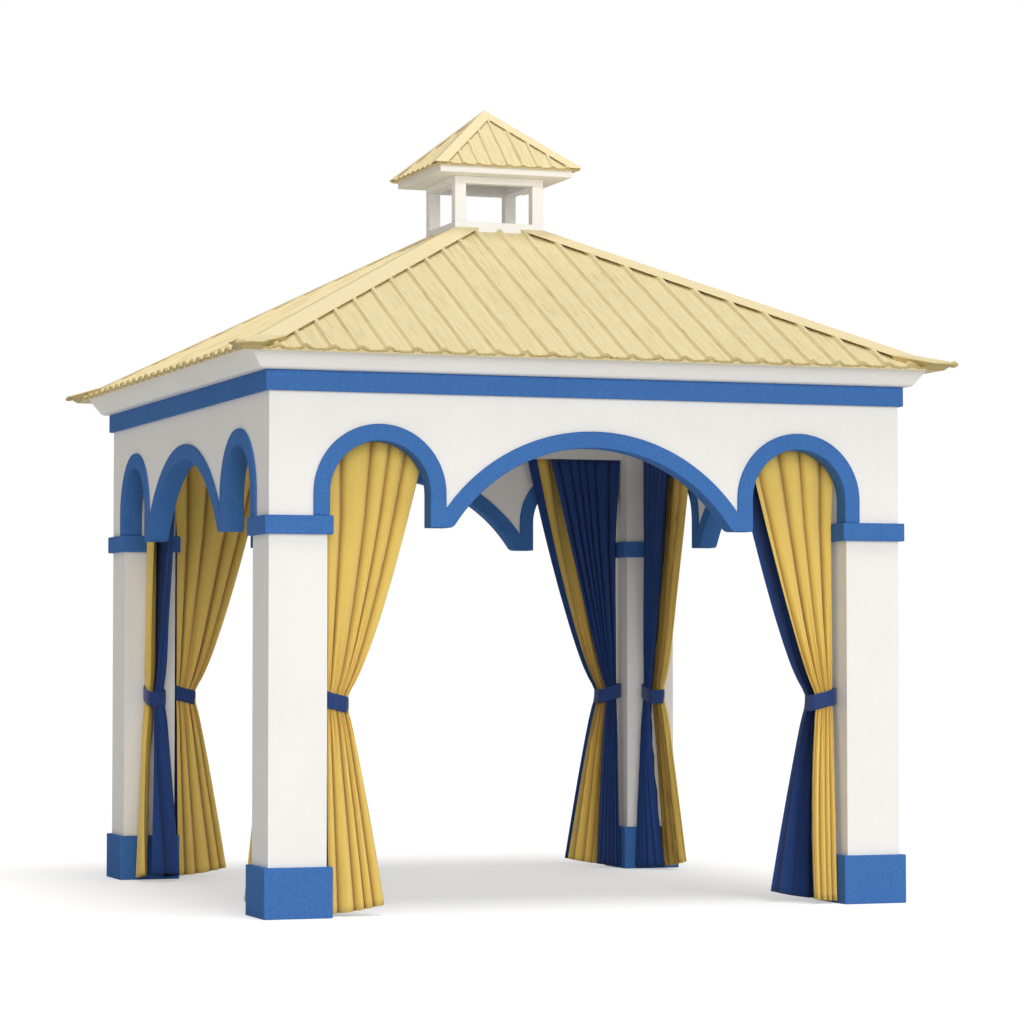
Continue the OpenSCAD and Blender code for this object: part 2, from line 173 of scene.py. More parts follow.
class Effects:
    """Node groups for the surface effects that several finishes share."""

    def __init__(self) -> None:
        """Builds every group once."""
        self.streaks = self._streaks()
        self.mottle = self._mottle()
        self.speckle = self._speckle()
        self.weave = self._weave()
        self.boards = self._boards()

    @staticmethod
    def _new(name: str, *outputs: str, **inputs: str) -> tuple[Graph, Outputs, Node]:
        """Opens a group.

        Args:
            name: the group's name.
            outputs: names of the value outputs.
            inputs: each input's kind of socket.

        Returns:
            The graph, the sockets of the group's inputs and its output node.
        """
        tree = bpy.data.node_groups.new(name, "ShaderNodeTree")
        for label, kind in inputs.items():
            tree.interface.new_socket(label, in_out="INPUT", socket_type=f"NodeSocket{kind}")
        for label in outputs:
            tree.interface.new_socket(label, in_out="OUTPUT", socket_type="NodeSocketFloat")
        graph = Graph(tree)
        return graph, graph.add("NodeGroupInput").outputs, graph.add("NodeGroupOutput")

    def _streaks(self) -> Tree:
        """Brush or grain streaks: noise drawn out by a stretch vector, with its contrast raised.

        Returns:
            The group's tree.
        """
        graph, source, sink = self._new(
            "streaks", "Mask", "Height", Vector="Vector", Stretch="Vector"
        )
        factors = {0: source["Vector"], 1: source["Stretch"]}
        place = graph.add("ShaderNodeVectorMath", factors, operation="MULTIPLY")
        noise = graph.noise(place.outputs[0], 1.0, detail=3.0, rough=0.62)
        graph.feed(sink, {"Mask": graph.spread(noise, low=0.42, high=0.72), "Height": noise})
        return graph.tree

    def _mottle(self) -> Tree:
        """Broad soft patches of a given size.

        Returns:
            The group's tree.
        """
        graph, source, sink = self._new("mottle", "Mask", Vector="Vector", Size="Float")
        scale = graph.math("DIVIDE", 1.0, source["Size"])
        noise = graph.noise(source["Vector"], scale, detail=4.0, rough=0.55)
        graph.feed(sink, {"Mask": graph.spread(noise, low=0.34, high=0.66)})
        return graph.tree

    def _speckle(self) -> Tree:
        """Fine grit of a given size: small cells over close noise.

        Returns:
            The group's tree.
        """
        graph, source, sink = self._new("speckle", "Mask", "Height", Vector="Vector", Size="Float")
        scale = graph.math("DIVIDE", 1.0, source["Size"])
        vector = source["Vector"]
        cells = graph.add("ShaderNodeTexVoronoi", {"Vector": vector, "Scale": scale})
        pits = graph.math("MULTIPLY", cells.outputs["Distance"], -0.5)
        height = graph.math("ADD", graph.noise(vector, scale, detail=2.0), pits)
        graph.feed(sink, {"Mask": graph.spread(height, low=0.1, high=0.45), "Height": height})
        return graph.tree

    def _weave(self) -> Tree:
        """Plain weave: warp and weft as two crossed sine waves of the cloth's own map.

        Returns:
            The group's tree.
        """
        graph, source, sink = self._new("weave", "Mask", "Height", Vector="Vector", Threads="Float")
        parts = graph.add("ShaderNodeSeparateXYZ", {0: source["Vector"]})
        turns = graph.math("MULTIPLY", source["Threads"], FULL_TURN)
        warp = graph.math("SINE", graph.math("MULTIPLY", parts.outputs["X"], turns))
        weft = graph.math("SINE", graph.math("MULTIPLY", parts.outputs["Y"], turns))
        height = graph.math("MULTIPLY", warp, weft)
        graph.feed(sink, {"Mask": graph.spread(height, low=-1.0), "Height": height})
        return graph.tree

    def _boards(self) -> Tree:
        """Joints between boards: a narrow dip each time the position passes a board's width.

        Returns:
            The group's tree.
        """
        graph, source, sink = self._new("boards", "Joint", Position="Float", Width="Float")
        along = graph.math("DIVIDE", source["Position"], source["Width"])
        offset = graph.math("ABSOLUTE", graph.math("SUBTRACT", graph.math("FRACT", along), 0.5))
        graph.feed(sink, {"Joint": graph.spread(offset, low=0.46, high=0.5)})
        return graph.tree


@dataclass(frozen=True)
class Paint:
    """Brushed paint on boards or render, with fine grit and broad soft patches.

    Fields: name, colour, shade (the colour of streaks, grit and patches, each with its share),
    rough (and how much smoother and rougher it gets in patches), sizes in metres, stretch (how
    often streaks repeat per metre along X, Y and Z), depth (of the bump), gloss (how strongly it
    mirrors) and boards (the axis across board joints).
    """

    name: str
    colour: Colour = linear("#f3f1ed")
    shade: Colour = linear("#dad6cf")
    rough: float = 0.6
    grit: float = 0.006
    stretch: tuple[float, float, float] = (90.0, 90.0, 3.0)
    streak_share: float = 0.25
    grit_share: float = 0.2
    patch_share: float = 0.12
    patch_size: float = 0.45
    depth: float = 0.0006
    gloss: float = 0.4
    boards: Axis | None = None
    board_width: float = 0.14
    joint_share: float = 0.55
    joint_light: float = 0.35
    joint_depth: float = 5.0
    smoother: float = 0.06
    rougher: float = 0.08

    def build(self, effects: Effects) -> Material:
        """Makes the material.

        Args:
            effects: the shared node groups.

        Returns:
            The finished material.
        """
        material, graph, shader = blank_material(self.name)
        place = graph.add("ShaderNodeTexCoord").outputs["Object"]
        streaks = graph.group(effects.streaks, {"Vector": place, "Stretch": self.stretch})
        mottle = graph.group(effects.mottle, {"Vector": place, "Size": self.patch_size})
        grit = graph.group(effects.speckle, {"Vector": place, "Size": self.grit})
        tone = graph.tint(self.colour, streaks["Mask"], self.streak_share, self.shade)
        tone = graph.tint(tone, grit["Mask"], self.grit_share, self.shade)
        tone = graph.tint(tone, mottle["Mask"], self.patch_share, self.shade)
        height = graph.math("ADD", streaks["Height"], grit["Height"])
        if self.boards is not None:
            position = graph.add("ShaderNodeSeparateXYZ", {0: place}).outputs[self.boards.value]
            values = {"Position": position, "Width": self.board_width}
            joint = graph.group(effects.boards, values)["Joint"]
            dark = (*(self.joint_light * c for c in self.shade[:3]), 1.0)
            tone = graph.tint(tone, joint, self.joint_share, dark)
            height = graph.math("SUBTRACT", height, graph.math("MULTIPLY", joint, self.joint_depth))
        low, high = self.rough - self.smoother, self.rough + self.rougher
        rough = graph.spread(mottle["Mask"], to_low=low, to_high=high)
        wire(graph, shader, tone, rough, height, self.depth)
        graph.feed(shader, {"Specular IOR Level": self.gloss})
        return material


@dataclass(frozen=True)
class CoatedSheet:
    """Straw-coloured coating on folded sheet, with short grain along the slope.

    Fields: name, colour, grain (the colour of fine and broad streaks), across (the axis that
    the grain runs across), shares, repeats per metre, sizes in metres, rough (and how much rougher
    on the grain), thinnest (the share of grain in the barest patches) and the bump's depth.
    """

    name: str
    colour: Colour
    grain: Colour
    across: Axis
    streak_share: float = 0.62
    broad_share: float = 0.2
    across_repeat: float = 260.0
    along_repeat: float = 4.0
    broad_scale: float = 0.3
    patch_size: float = 0.4
    rough: float = 0.42
    rougher: float = 0.18
    thinnest: float = 0.45
    depth: float = 0.0008

    def build(self, effects: Effects) -> Material:
        """Makes the material.

        Args:
            effects: the shared node groups.

        Returns:
            The finished material.
        """
        material, graph, shader = blank_material(self.name)
        place = graph.add("ShaderNodeTexCoord").outputs["Object"]
        repeats = {self.across: self.across_repeat}
        stretch = tuple(repeats.get(axis, self.along_repeat) for axis in Axis)
        wider = tuple(self.broad_scale * repeat for repeat in stretch)
        fine = graph.group(effects.streaks, {"Vector": place, "Stretch": stretch})
        broad = graph.group(effects.streaks, {"Vector": place, "Stretch": wider})
        mottle = graph.group(effects.mottle, {"Vector": place, "Size": self.patch_size})
        patch = graph.spread(mottle["Mask"], low=0.3, high=0.9, to_low=self.thinnest)
        sharp = graph.spread(fine["Mask"], low=0.3, high=0.8)
        sparse = graph.math("MULTIPLY", sharp, patch)
        tone = graph.tint(self.colour, sparse, self.streak_share, self.grain)
        share = self.broad_share * self.streak_share
        tone = graph.tint(tone, broad["Mask"], share, self.grain)
        rough = graph.spread(fine["Mask"], to_low=self.rough, to_high=self.rough + self.rougher)
        wire(graph, shader, tone, rough, fine["Height"], self.depth)
        return material


@dataclass(frozen=True)
class Cloth:
    """Woven outdoor cloth with a soft sheen; its weave follows the cloth's own map in metres.

    Fields: name, colour, shade (the colour of the weave's gaps, slubs and patches), crease (the
    colour of the painted shade deep in a pleat), sheen, threads and slubs per metre, shares, sizes
    in metres, rough (and how much rougher on slubs) and the bump's depth.
    """

    name: str
    colour: Colour
    shade: Colour
    crease_shade: Colour
    sheen: float = 0.25
    sheen_rough: float = 0.4
    threads: float = 420.0
    weave_share: float = 0.22
    slub_share: float = 0.2
    patch_share: float = 0.15
    crease_shade_share: float = 0.85
    slub_repeat: tuple[float, float, float] = (240.0, 6.0, 1.0)
    slub_height: float = 1.5
    patch_size: float = 0.3
    rough: float = 0.78
    rougher: float = 0.14
    depth: float = 0.0004

    def build(self, effects: Effects) -> Material:
        """Makes the material.

        Args:
            effects: the shared node groups.

        Returns:
            The finished material.
        """
        material, graph, shader = blank_material(self.name)
        cut = graph.add("ShaderNodeUVMap", uv_map=CUT).outputs[0]
        weave = graph.group(effects.weave, {"Vector": cut, "Threads": self.threads})
        slub = graph.group(effects.streaks, {"Vector": cut, "Stretch": self.slub_repeat})
        mottle = graph.group(effects.mottle, {"Vector": cut, "Size": self.patch_size})
        pleat_shade = graph.add("ShaderNodeAttribute", attribute_name=PLEAT_SHADE).outputs["Fac"]
        tone = graph.tint(self.colour, weave["Mask"], self.weave_share, self.shade)
        tone = graph.tint(tone, slub["Mask"], self.slub_share, self.shade)
        tone = graph.tint(tone, mottle["Mask"], self.patch_share, self.shade)
        # Painted shade: a share of the crease colour deep in each pleat, read from the cloth's
        # attribute.
        tone = graph.tint(tone, pleat_shade, self.crease_shade_share, self.crease_shade)
        thick = graph.math("MULTIPLY", slub["Height"], self.slub_height)
        height = graph.math("ADD", weave["Height"], thick)
        rough = graph.spread(slub["Mask"], to_low=self.rough, to_high=self.rough + self.rougher)
        wire(graph, shader, tone, rough, height, self.depth)
        graph.feed(shader, {"Sheen Weight": self.sheen, "Sheen Roughness": self.sheen_rough})
        return material


def blank_material(name: str) -> tuple[Material, Graph, Node]:
    """Opens a material with only a Principled shader.

    Args:
        name: the material's name.

    Returns:
        The material, its graph and its shader node.
    """
    material = bpy.data.materials.new(name)
    material.use_nodes = True
    graph = Graph(material.node_tree)
    return material, graph, material.node_tree.nodes["Principled BSDF"]


def wire(graph: Graph, shader: Node, tone: Any, rough: Any, height: Any, depth: float) -> None:
    """Feeds a shader with colour, roughness and a bump.

    Args:
        graph: the material's graph.
        shader: the shader node.
        tone: the colour's socket.
        rough: the roughness's socket.
        height: the bump's socket.
        depth: the bump's depth in metres.
    """
    bump = graph.add("ShaderNodeBump", {"Height": height, "Distance": depth, "Strength": 1.0})
    graph.feed(shader, {"Base Color": tone, "Roughness": rough, "Normal": bump.outputs[0]})


class Palette:
    """Every finish of the pavilion, built once and handed out by name."""

    def __init__(self) -> None:
        """Builds the materials."""
        effects = Effects()
        straw, straw_grain = linear("#e7d7a6"), linear("#a18c55")
        cap, cap_grain = linear("#eddcae"), linear("#d3c08a")
        # The edge straw and its grain are darker than the sheets' to paint the shade along the
        # eaves and at the caps' ends.
        edge, edge_shaded_grain = linear("#c3ae73"), linear("#6f5d2d")
        # Each cloth's third tone is the colour of the painted shade deep in its pleats.
        gold_tones = (linear(code) for code in ("#ffdf76", "#eab640", "#7e4a10"))
        navy_tones = (linear(code) for code in ("#1c4890", "#112c60", "#040a1a"))
        tie_tones = (linear(code) for code in ("#1f3f7c", "#142b56", "#142b56"))
        finishes = (
            Paint("wall_white", rough=0.55, streak_share=0.07, grit_share=0.1),
            Paint(
                "crown_white", rough=0.5, stretch=(8.0, 8.0, 40.0),
                streak_share=0.06, grit_share=0.04,
            ),
            Paint("frame_white", stretch=(40.0, 40.0, 6.0)),
            Paint("boards_across_y", stretch=(4.0, 60.0, 60.0), boards=Axis.Y),
            Paint("boards_across_x", stretch=(60.0, 4.0, 60.0), boards=Axis.X),
            # Painted light: a lighter white than the walls', to offset the shade that the lantern's
            # eave casts on it.
            Paint(
                "lantern_white", linear("#fbfaf8"), linear("#e6e3e0"), rough=0.5,
                streak_share=0.1, grit_share=0.06,
            ),
            Paint(
                "trim_blue", linear("#4878b8"), linear("#2f5896"), grit=0.009, gloss=0.03,
                streak_share=0.12, grit_share=0.4, depth=0.001,
            ),
            CoatedSheet("sheet_across_x", straw, straw_grain, Axis.X),
            CoatedSheet("sheet_across_y", straw, straw_grain, Axis.Y),
            # Painted shade: darker straw for the roof's rolled edges and cap ends.
            CoatedSheet("sheet_edge_shaded", edge, edge_shaded_grain, Axis.Z, streak_share=0.7),
            CoatedSheet("cap_straw", cap, cap_grain, Axis.Z, streak_share=0.3),
            Cloth("curtain_gold", *gold_tones),
            Cloth("curtain_navy", *navy_tones, sheen=0.06),
            Cloth("tie_blue", *tie_tones, threads=300.0),
        )
        self.materials = {finish.name: finish.build(effects) for finish in finishes}

    def dress(self, piece: Object, name: str) -> None:
        """Puts one finish on a whole piece."""
        piece.data.materials.clear()
        piece.data.materials.append(self.materials[name])

    def fit(self, piece: Object, finish: str, slot: str, *nodes: str) -> None:
        """Dresses a piece, rides it on the pavilion and says what it stands for.

        Args:
            piece: the object.
            finish: the finish's name.
            slot: the slot's name.
            nodes: the nodes that the piece replaces, if any.
        """
        self.dress(piece, finish)
        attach(piece, BODY)
        if nodes:
            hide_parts(*nodes)
        LOG.info("%s: slot %s, stands for %s", piece.name, slot, ", ".join(nodes) or "nothing else")


# Mesh building


def joined(*parts: Array) -> Array:
    """Brings arrays to one shape and joins them along a new last axis."""
    return np.stack(np.broadcast_arrays(*parts), axis=-1)


def linked(name: str, data: bpy.types.ID) -> Object:
    """Makes an object of a mesh, a lamp or a camera and puts it into the scene."""
    thing = bpy.data.objects.new(name, data)
    bpy.context.collection.objects.link(thing)
    return thing


def grid_piece(
    name: str,
    points: Array,
    cut: Array,
    wrap_rows: bool = False,
    wrap_columns: bool = False,
    flip: bool = False,
) -> Object:
    """Makes a smooth piece from a grid of points.

    Args:
        name: the piece's name.
        points: an array of rows, columns and three coordinates, in metres.
        cut: an array of rows, columns and two map coordinates, in metres.
        wrap_rows: whether the last row joins the first.
        wrap_columns: whether the last column joins the first.
        flip: whether to turn the faces over.

    Returns:
        The new object, at the origin.
    """
    rows, columns = points.shape[:2]
    quads = (np.arange(rows - (not wrap_rows)), np.arange(columns - (not wrap_columns)))
    r, c = np.meshgrid(*quads, indexing="ij")
    below, beside = (r + 1) % rows * columns, (c + 1) % columns
    faces = joined(r * columns + c, r * columns + beside, below + beside, below + c).reshape(-1, 4)
    if flip:
        faces = faces[:, ::-1]
    mesh = bpy.data.meshes.new(name)
    mesh.from_pydata(points.reshape(-1, 3), [], faces)
    layer = mesh.uv_layers.new(name=CUT)
    layer.data.foreach_set("uv", cut.reshape(-1, 2)[faces].astype(np.float32).ravel())
    mesh.polygons.foreach_set("use_smooth", np.ones(len(faces), bool))
    mesh.update()
    return linked(name, mesh)


def circle(steps: int) -> Array:
    """Divides a full turn and gives the angle at the start of each part."""
    return np.linspace(0, FULL_TURN, steps, endpoint=False)


def squared(wave: Array, power: float) -> Array:
    """Squares up a sine or cosine wave; the lower the power, the squarer."""
    return np.sign(wave) * np.abs(wave) ** power


def turned(points: Array, side: int, mirrored: bool = False) -> Array:
    """Carries points from the front wall's right-hand end to another wall or end.

    Args:
        points: coordinates in the row frame, drawn at the front wall's right-hand end.
        side: which wall, as an index into SIDES.
        mirrored: whether to go to the wall's other end first.

    Returns:
        The moved coordinates.
    """
    x, y, z = np.moveaxis(points, -1, 0)
    if mirrored:
        x = -x
    cos, sin = math.cos(QUARTER_TURN * side), math.sin(QUARTER_TURN * side)
    return joined(x * cos - y * sin, x * sin + y * cos, z)


def mesh_points(node: str) -> Array:
    """Reads the points of a node's mesh.

    Args:
        node: the node's name.

    Returns:
        One row of three coordinates, in metres, for each point.
    """
    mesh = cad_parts[node].data
    flat = np.empty(3 * len(mesh.vertices), np.float32)
    mesh.vertices.foreach_get("co", flat)
    return flat.reshape(-1, 3).astype(float)


def softened(node: str, width: float) -> Object:
    """Copies a rigid node, merges its triangles and rounds its hard edges.

    Args:
        node: the node's name.
        width: how far back from an edge the rounding starts, in metres.

    Returns:
        The softened copy.
    """
    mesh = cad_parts[node].data.copy()
    mesh.name = f"{node}_soft"
    work = bmesh.new()
    work.from_mesh(mesh)
    bmesh.ops.remove_doubles(work, verts=work.verts, dist=MERGED)
    bmesh.ops.dissolve_limit(work, angle_limit=FLAT_ANGLE, verts=work.verts, edges=work.edges)
    work.to_mesh(mesh)
    work.free()
    piece = linked(mesh.name, mesh)
    bevel = piece.modifiers.new("soft_edges", "BEVEL")
    bevel.width = width
    bevel.segments = 2
    bevel.limit_method = "ANGLE"
    bevel.angle_limit = HARD_ANGLE
    bevel.harden_normals = False
    return piece


# Rigid pieces


@dataclass
class RigidPieces:
    """The painted frame, the trims, the lantern and the roof, as the solids give them.

    Fields: the widths of the rounding on blue trim, on white mouldings and on the lantern.
    """

    trim_round: float = 0.005
    moulding_round: float = 0.004
    lantern_round: float = 0.003

    def build(self, palette: Palette) -> None:
        """Dresses every rigid node, on softened copies where edges catch the light.

        Args:
            palette: the finishes.
        """
        bands = ("plinths", "capitals", "frieze_front_back", "frieze_sides")
        for node in (*bands, *(f"arch_trim_{s}" for s in SIDES)):
            palette.fit(softened(node, self.trim_round), "trim_blue", "trim_blue", node)
        for node in ("crown_front_back", "crown_sides"):
            palette.fit(softened(node, self.moulding_round), "crown_white", "wall_white", node)
        for node in ("lantern_sill", "lantern_posts", "lantern_header", "lantern_eave"):
            palette.fit(softened(node, self.lantern_round), "lantern_white", "lantern_white", node)
        corners = ("front_left", "front_right", "back_right", "back_left")
        kept = {f"post_{c}": "wall_white" for c in corners}
        kept |= {f"arch_panel_{s}": "wall_white" for s in SIDES}
        kept |= {n: "frame_white" for n in ("header_beams", "hip_rafters")}
        kept |= {n: "frame_white" for n in ("wall_plates_front_back", "wall_plates_sides")}
        for walls, along, across in (("front_back", "x", "y"), ("sides", "y", "x")):
            kept[f"roof_boards_{walls}"] = f"boards_across_{across}"
            kept[f"lantern_sheets_{walls}"] = f"sheet_across_{along}"
        kept |= {f"roof_sheet_{s}": f"sheet_across_{'xy'[i % 2]}" for i, s in enumerate(SIDES)}
        kept |= {"hip_caps": "cap_straw", "lantern_hip_caps": "cap_straw"}
        for node, finish in kept.items():
            palette.dress(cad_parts[node], finish)
            LOG.info("%s: kept, finish %s", node, finish)


@dataclass
class EaveLip:
    """The crumpled rolled edge of the ribbed sheets along the eaves of one roof.

    Fields: the node that gives the eave's place, the rolls' name, their radius, the ribs' pitch
    and the length left free at a corner in metres; shares of the radius; the power that narrows
    the ribs; each roughening sine's radians along a metre and turns round the roll; and steps.
    """

    node: str
    name: str
    radius: float = 0.013
    pitch: float = 0.153
    short: float = 0.01
    crumple: float = 0.1
    set_back: float = 0.8
    lift: float = 0.9
    rib_rise: float = 1.2
    rib_power: float = 6.0
    waves: tuple[tuple[float, float], ...] = ((61, 2), (147, -1), (233, 3))
    steps: int = 900
    profile_steps: int = 10

    def build(self, palette: Palette) -> None:
        """Makes the four rolls.

        The path is the straight eave. The profile is a circle whose radius swells at each rib
        and is roughened by three sines, and which closes to nothing at both ends.

        Args:
            palette: the finishes.
        """
        (_, out_y, low_z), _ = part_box(self.node)
        half = -out_y - self.short
        a = np.linspace(-1, 1, self.steps)[:, None]
        b = circle(self.profile_steps)[None, :]
        along = a * half
        beat = np.abs(np.cos(math.pi * along / self.pitch)) ** self.rib_power
        rough = sum(np.sin(lengthwise * along + about * b) for lengthwise, about in self.waves)
        taper = np.clip((1 - np.abs(a)) * half / self.radius, 0, 1) ** 0.5
        reach = self.radius * (0.5 + 0.5 * beat + self.crumple * rough) * taper
        y = out_y + self.set_back * self.radius + reach * np.cos(b)
        z = low_z + self.lift * self.radius + self.rib_rise * self.radius * beat + reach * np.sin(b)
        points = joined(along, y, z)
        cut = joined(along, self.radius * b)
        for side, wall in enumerate(SIDES):
            carried = turned(points, side)
            piece = grid_piece(f"{self.name}_{wall}", carried, cut, wrap_columns=True, flip=True)
            # Painted shade: the rolls take the darker edge straw.
            palette.fit(piece, "sheet_edge_shaded", "roof_straw")


@dataclass
class CapEnds:
    """Closed and rolled ends of the main hip caps, down to the sheets' corners.

    Fields: how far out the corners are looked for, the end's sizes and the roll's radius and
    its swell at the corner in metres; the roll's place as shares of its size; how sharply the
    roll tapers; how large the end and half the roll are laid out flat, in metres; and steps.
    """

    corner_from: float = 1.5
    inset: float = 0.006
    foot_rise: float = 0.004
    lap: float = 0.03
    thickness: float = 0.003
    swelling: float = 0.004
    roll_radius: float = 0.006
    roll_swell: float = 0.011
    roll_back: float = 0.7
    roll_drop: float = 0.4
    roll_taper: float = 8.0
    end_cut: tuple[float, float] = (0.5, 0.05)
    roll_cut: float = 0.2
    steps: int = 40
    rows: int = 9
    profile_steps: int = 12

    def build(self, palette: Palette) -> None:
        """Makes the four ends and the rolls on them.

        Args:
            palette: the finishes.
        """
        head, foot = self._rails()
        for side, wall in enumerate(SIDES):
            end = grid_piece(f"cap_end_{wall}", *self._end(head, foot, side))
            end.modifiers.new("sheet_thickness", "SOLIDIFY").thickness = self.thickness
            roll = grid_piece(f"cap_roll_{wall}", *self._roll(head, side), wrap_columns=True)
            for piece in (end, roll):
                # Painted shade: the ends and rolls take the darker edge straw.
                palette.fit(piece, "sheet_edge_shaded", "cap_straw")

    def _rails(self) -> tuple[Array, Array]:
        """Finds the outline of an end's head and of its foot at the front right corner.

        The head follows the under edge of the cap from its bend to the eave and on to its
        corner, and the foot follows the sheets' edge below. The other half is the mirror image.

        Returns:
            The head's and the foot's points, in the same order.
        """
        points = mesh_points("hip_caps")
        corner = points[(points[:, 0] > self.corner_from) & (points[:, 1] < -self.corner_from)]
        tip = corner[:, 0].max()
        edge = np.isclose(corner[:, 1], -tip, atol=NEAR)
        end_x, end_z = corner[edge, 0].min(), corner[edge, 2].min()
        bends = corner[corner[:, 0] < end_x - NEAR]
        bend = bends[np.argmin(bends[:, 1] + bends[:, 2])]
        (_, out_y, low_z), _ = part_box("roof_sheet_front")
        foot, foot_z = -out_y - self.inset, low_z + self.foot_rise
        head_line = np.array([bend, [end_x, -tip, end_z], [tip, -tip, end_z]])
        lapped = bend - (0, 0, self.lap)
        foot_line = np.array([lapped, [end_x, -foot, foot_z], [foot, -foot, foot_z]])
        u = np.linspace(0, 2, self.steps + 1)
        rails = []
        for line in (head_line, foot_line):
            half = joined(*(np.interp(u, range(3), line[:, i]) for i in range(3)))
            rails.append(np.concatenate((half, half[-2::-1][:, [1, 0, 2]] * (-1, -1, 1))))
        return rails[0], rails[1]

    def _end(self, head: Array, foot: Array, side: int) -> tuple[Array, Array]:
        """The end's surface: straight from the head to the foot, with a slight swelling half way.

        Args:
            head: the head's outline.
            foot: the foot's outline.
            side: the corner, counted from the front right one.

        Returns:
            The points and their places on the flat sheet.
        """
        v = np.linspace(0, 1, self.rows)[:, None, None]
        points = head * (1 - v) + foot * v
        points[..., 2] += self.swelling * np.sin(math.pi * v[..., 0])
        wide, high = self.end_cut
        cut = joined(np.linspace(0, wide, len(head))[None, :], high * v[..., 0])
        return turned(points, side), cut

    def _roll(self, head: Array, side: int) -> tuple[Array, Array]:
        """The roll on the end's edge: a circle carried round the corner of the cap.

        The circle stands square to each edge and is mitred at the corner, where it is thickest.
        Two sines roughen it, and it closes to nothing at both ends.

        Args:
            head: the head's outline.
            side: the corner, counted from the front right one.

        Returns:
            The points and their places on the flat sheet.
        """
        half = self.steps // 2
        path = head[half : 3 * half + 1]
        place_on = np.arange(-half, half + 1)[:, None] / half
        b = circle(self.profile_steps)[None, :]
        outward = joined(place_on[:, 0] >= 0, -1.0 * (place_on[:, 0] <= 0))
        rough = 0.12 * np.sin(31 * place_on + 2 * b + side) + 0.1 * np.sin(17 * place_on - 3 * b)
        size = self.roll_radius + self.roll_swell * (1 - np.abs(place_on)) ** 3
        reach = size * (1 + rough) * np.clip(self.roll_taper * (1 - np.abs(place_on)), 0, 1) ** 0.5
        out = reach * np.cos(b) - self.roll_back * size
        flat = path[:, None, :2] + outward[:, None, :] * out[..., None]
        z = path[:, 2:] - self.roll_drop * size + reach * np.sin(b)
        cut = joined(self.roll_cut * place_on, self.roll_radius * b)
        return turned(joined(flat[..., 0], flat[..., 1], z), side), cut


# Curtains


Cover = tuple[float, float, float]
NONE: Cover = (0.0, 0.0, 0.0)
FULL: Cover = (1.0, 1.0, 1.0)


@dataclass(frozen=True)
class Layer:
    """One cloth of a curtain.

    Fields: finish, start and end (where the cloth begins and ends, as shares of the curtain's
    width from the post to the leading edge, each at the heading, the waist and the hem),
    outer (whether it hangs on the wall's side), folds (how many pleats), tag (what its name
    ends with) and closes (whether its leading edge comes round to the wall's side).
    """

    finish: str
    start: Cover
    end: Cover
    outer: bool
    folds: float
    tag: str
    closes: bool = False


def gold(end: Cover = FULL, outer: bool = True, folds: float = 4.6) -> Layer:
    """Describes a gold cloth, which starts at the post."""
    return Layer("curtain_gold", NONE, end, outer, folds, "gold")


def navy(start: Cover, end: Cover, folds: float = 6.5, **choices: Any) -> Layer:
    """Describes a navy cloth, which hangs on the room's side unless told otherwise."""
    fields = {"outer": False, "tag": "navy"} | choices
    return Layer("curtain_navy", start, end, folds=folds, **fields)


class Hang(Enum):
    """How a curtain's cloths overlap."""

    GOLD_OUTSIDE = (gold(), navy(NONE, (0.7, 0.52, 0.5)))
    NAVY_FRONT_EDGE = (gold((0.93, 0.8, 0.45)), navy((0.5, 0.45, 0.1), FULL, folds=3.4))
    NAVY_BY_ROOM = (gold((0.3, 0.42, 0.9), folds=2.6), navy(NONE, FULL, folds=5.0, closes=True))
    GOLD_INSIDE = (navy(NONE, (0.3, 0.3, 0.3), outer=True, folds=1.6), gold(outer=False))
    NAVY_EDGED = (
        gold((0.9, 0.9, 0.94), folds=4.2),
        navy((0.9, 0.9, 0.94), FULL, outer=True, folds=0.6, tag="edge"),
        navy(NONE, (0.78, 0.58, 0.36)),
    )


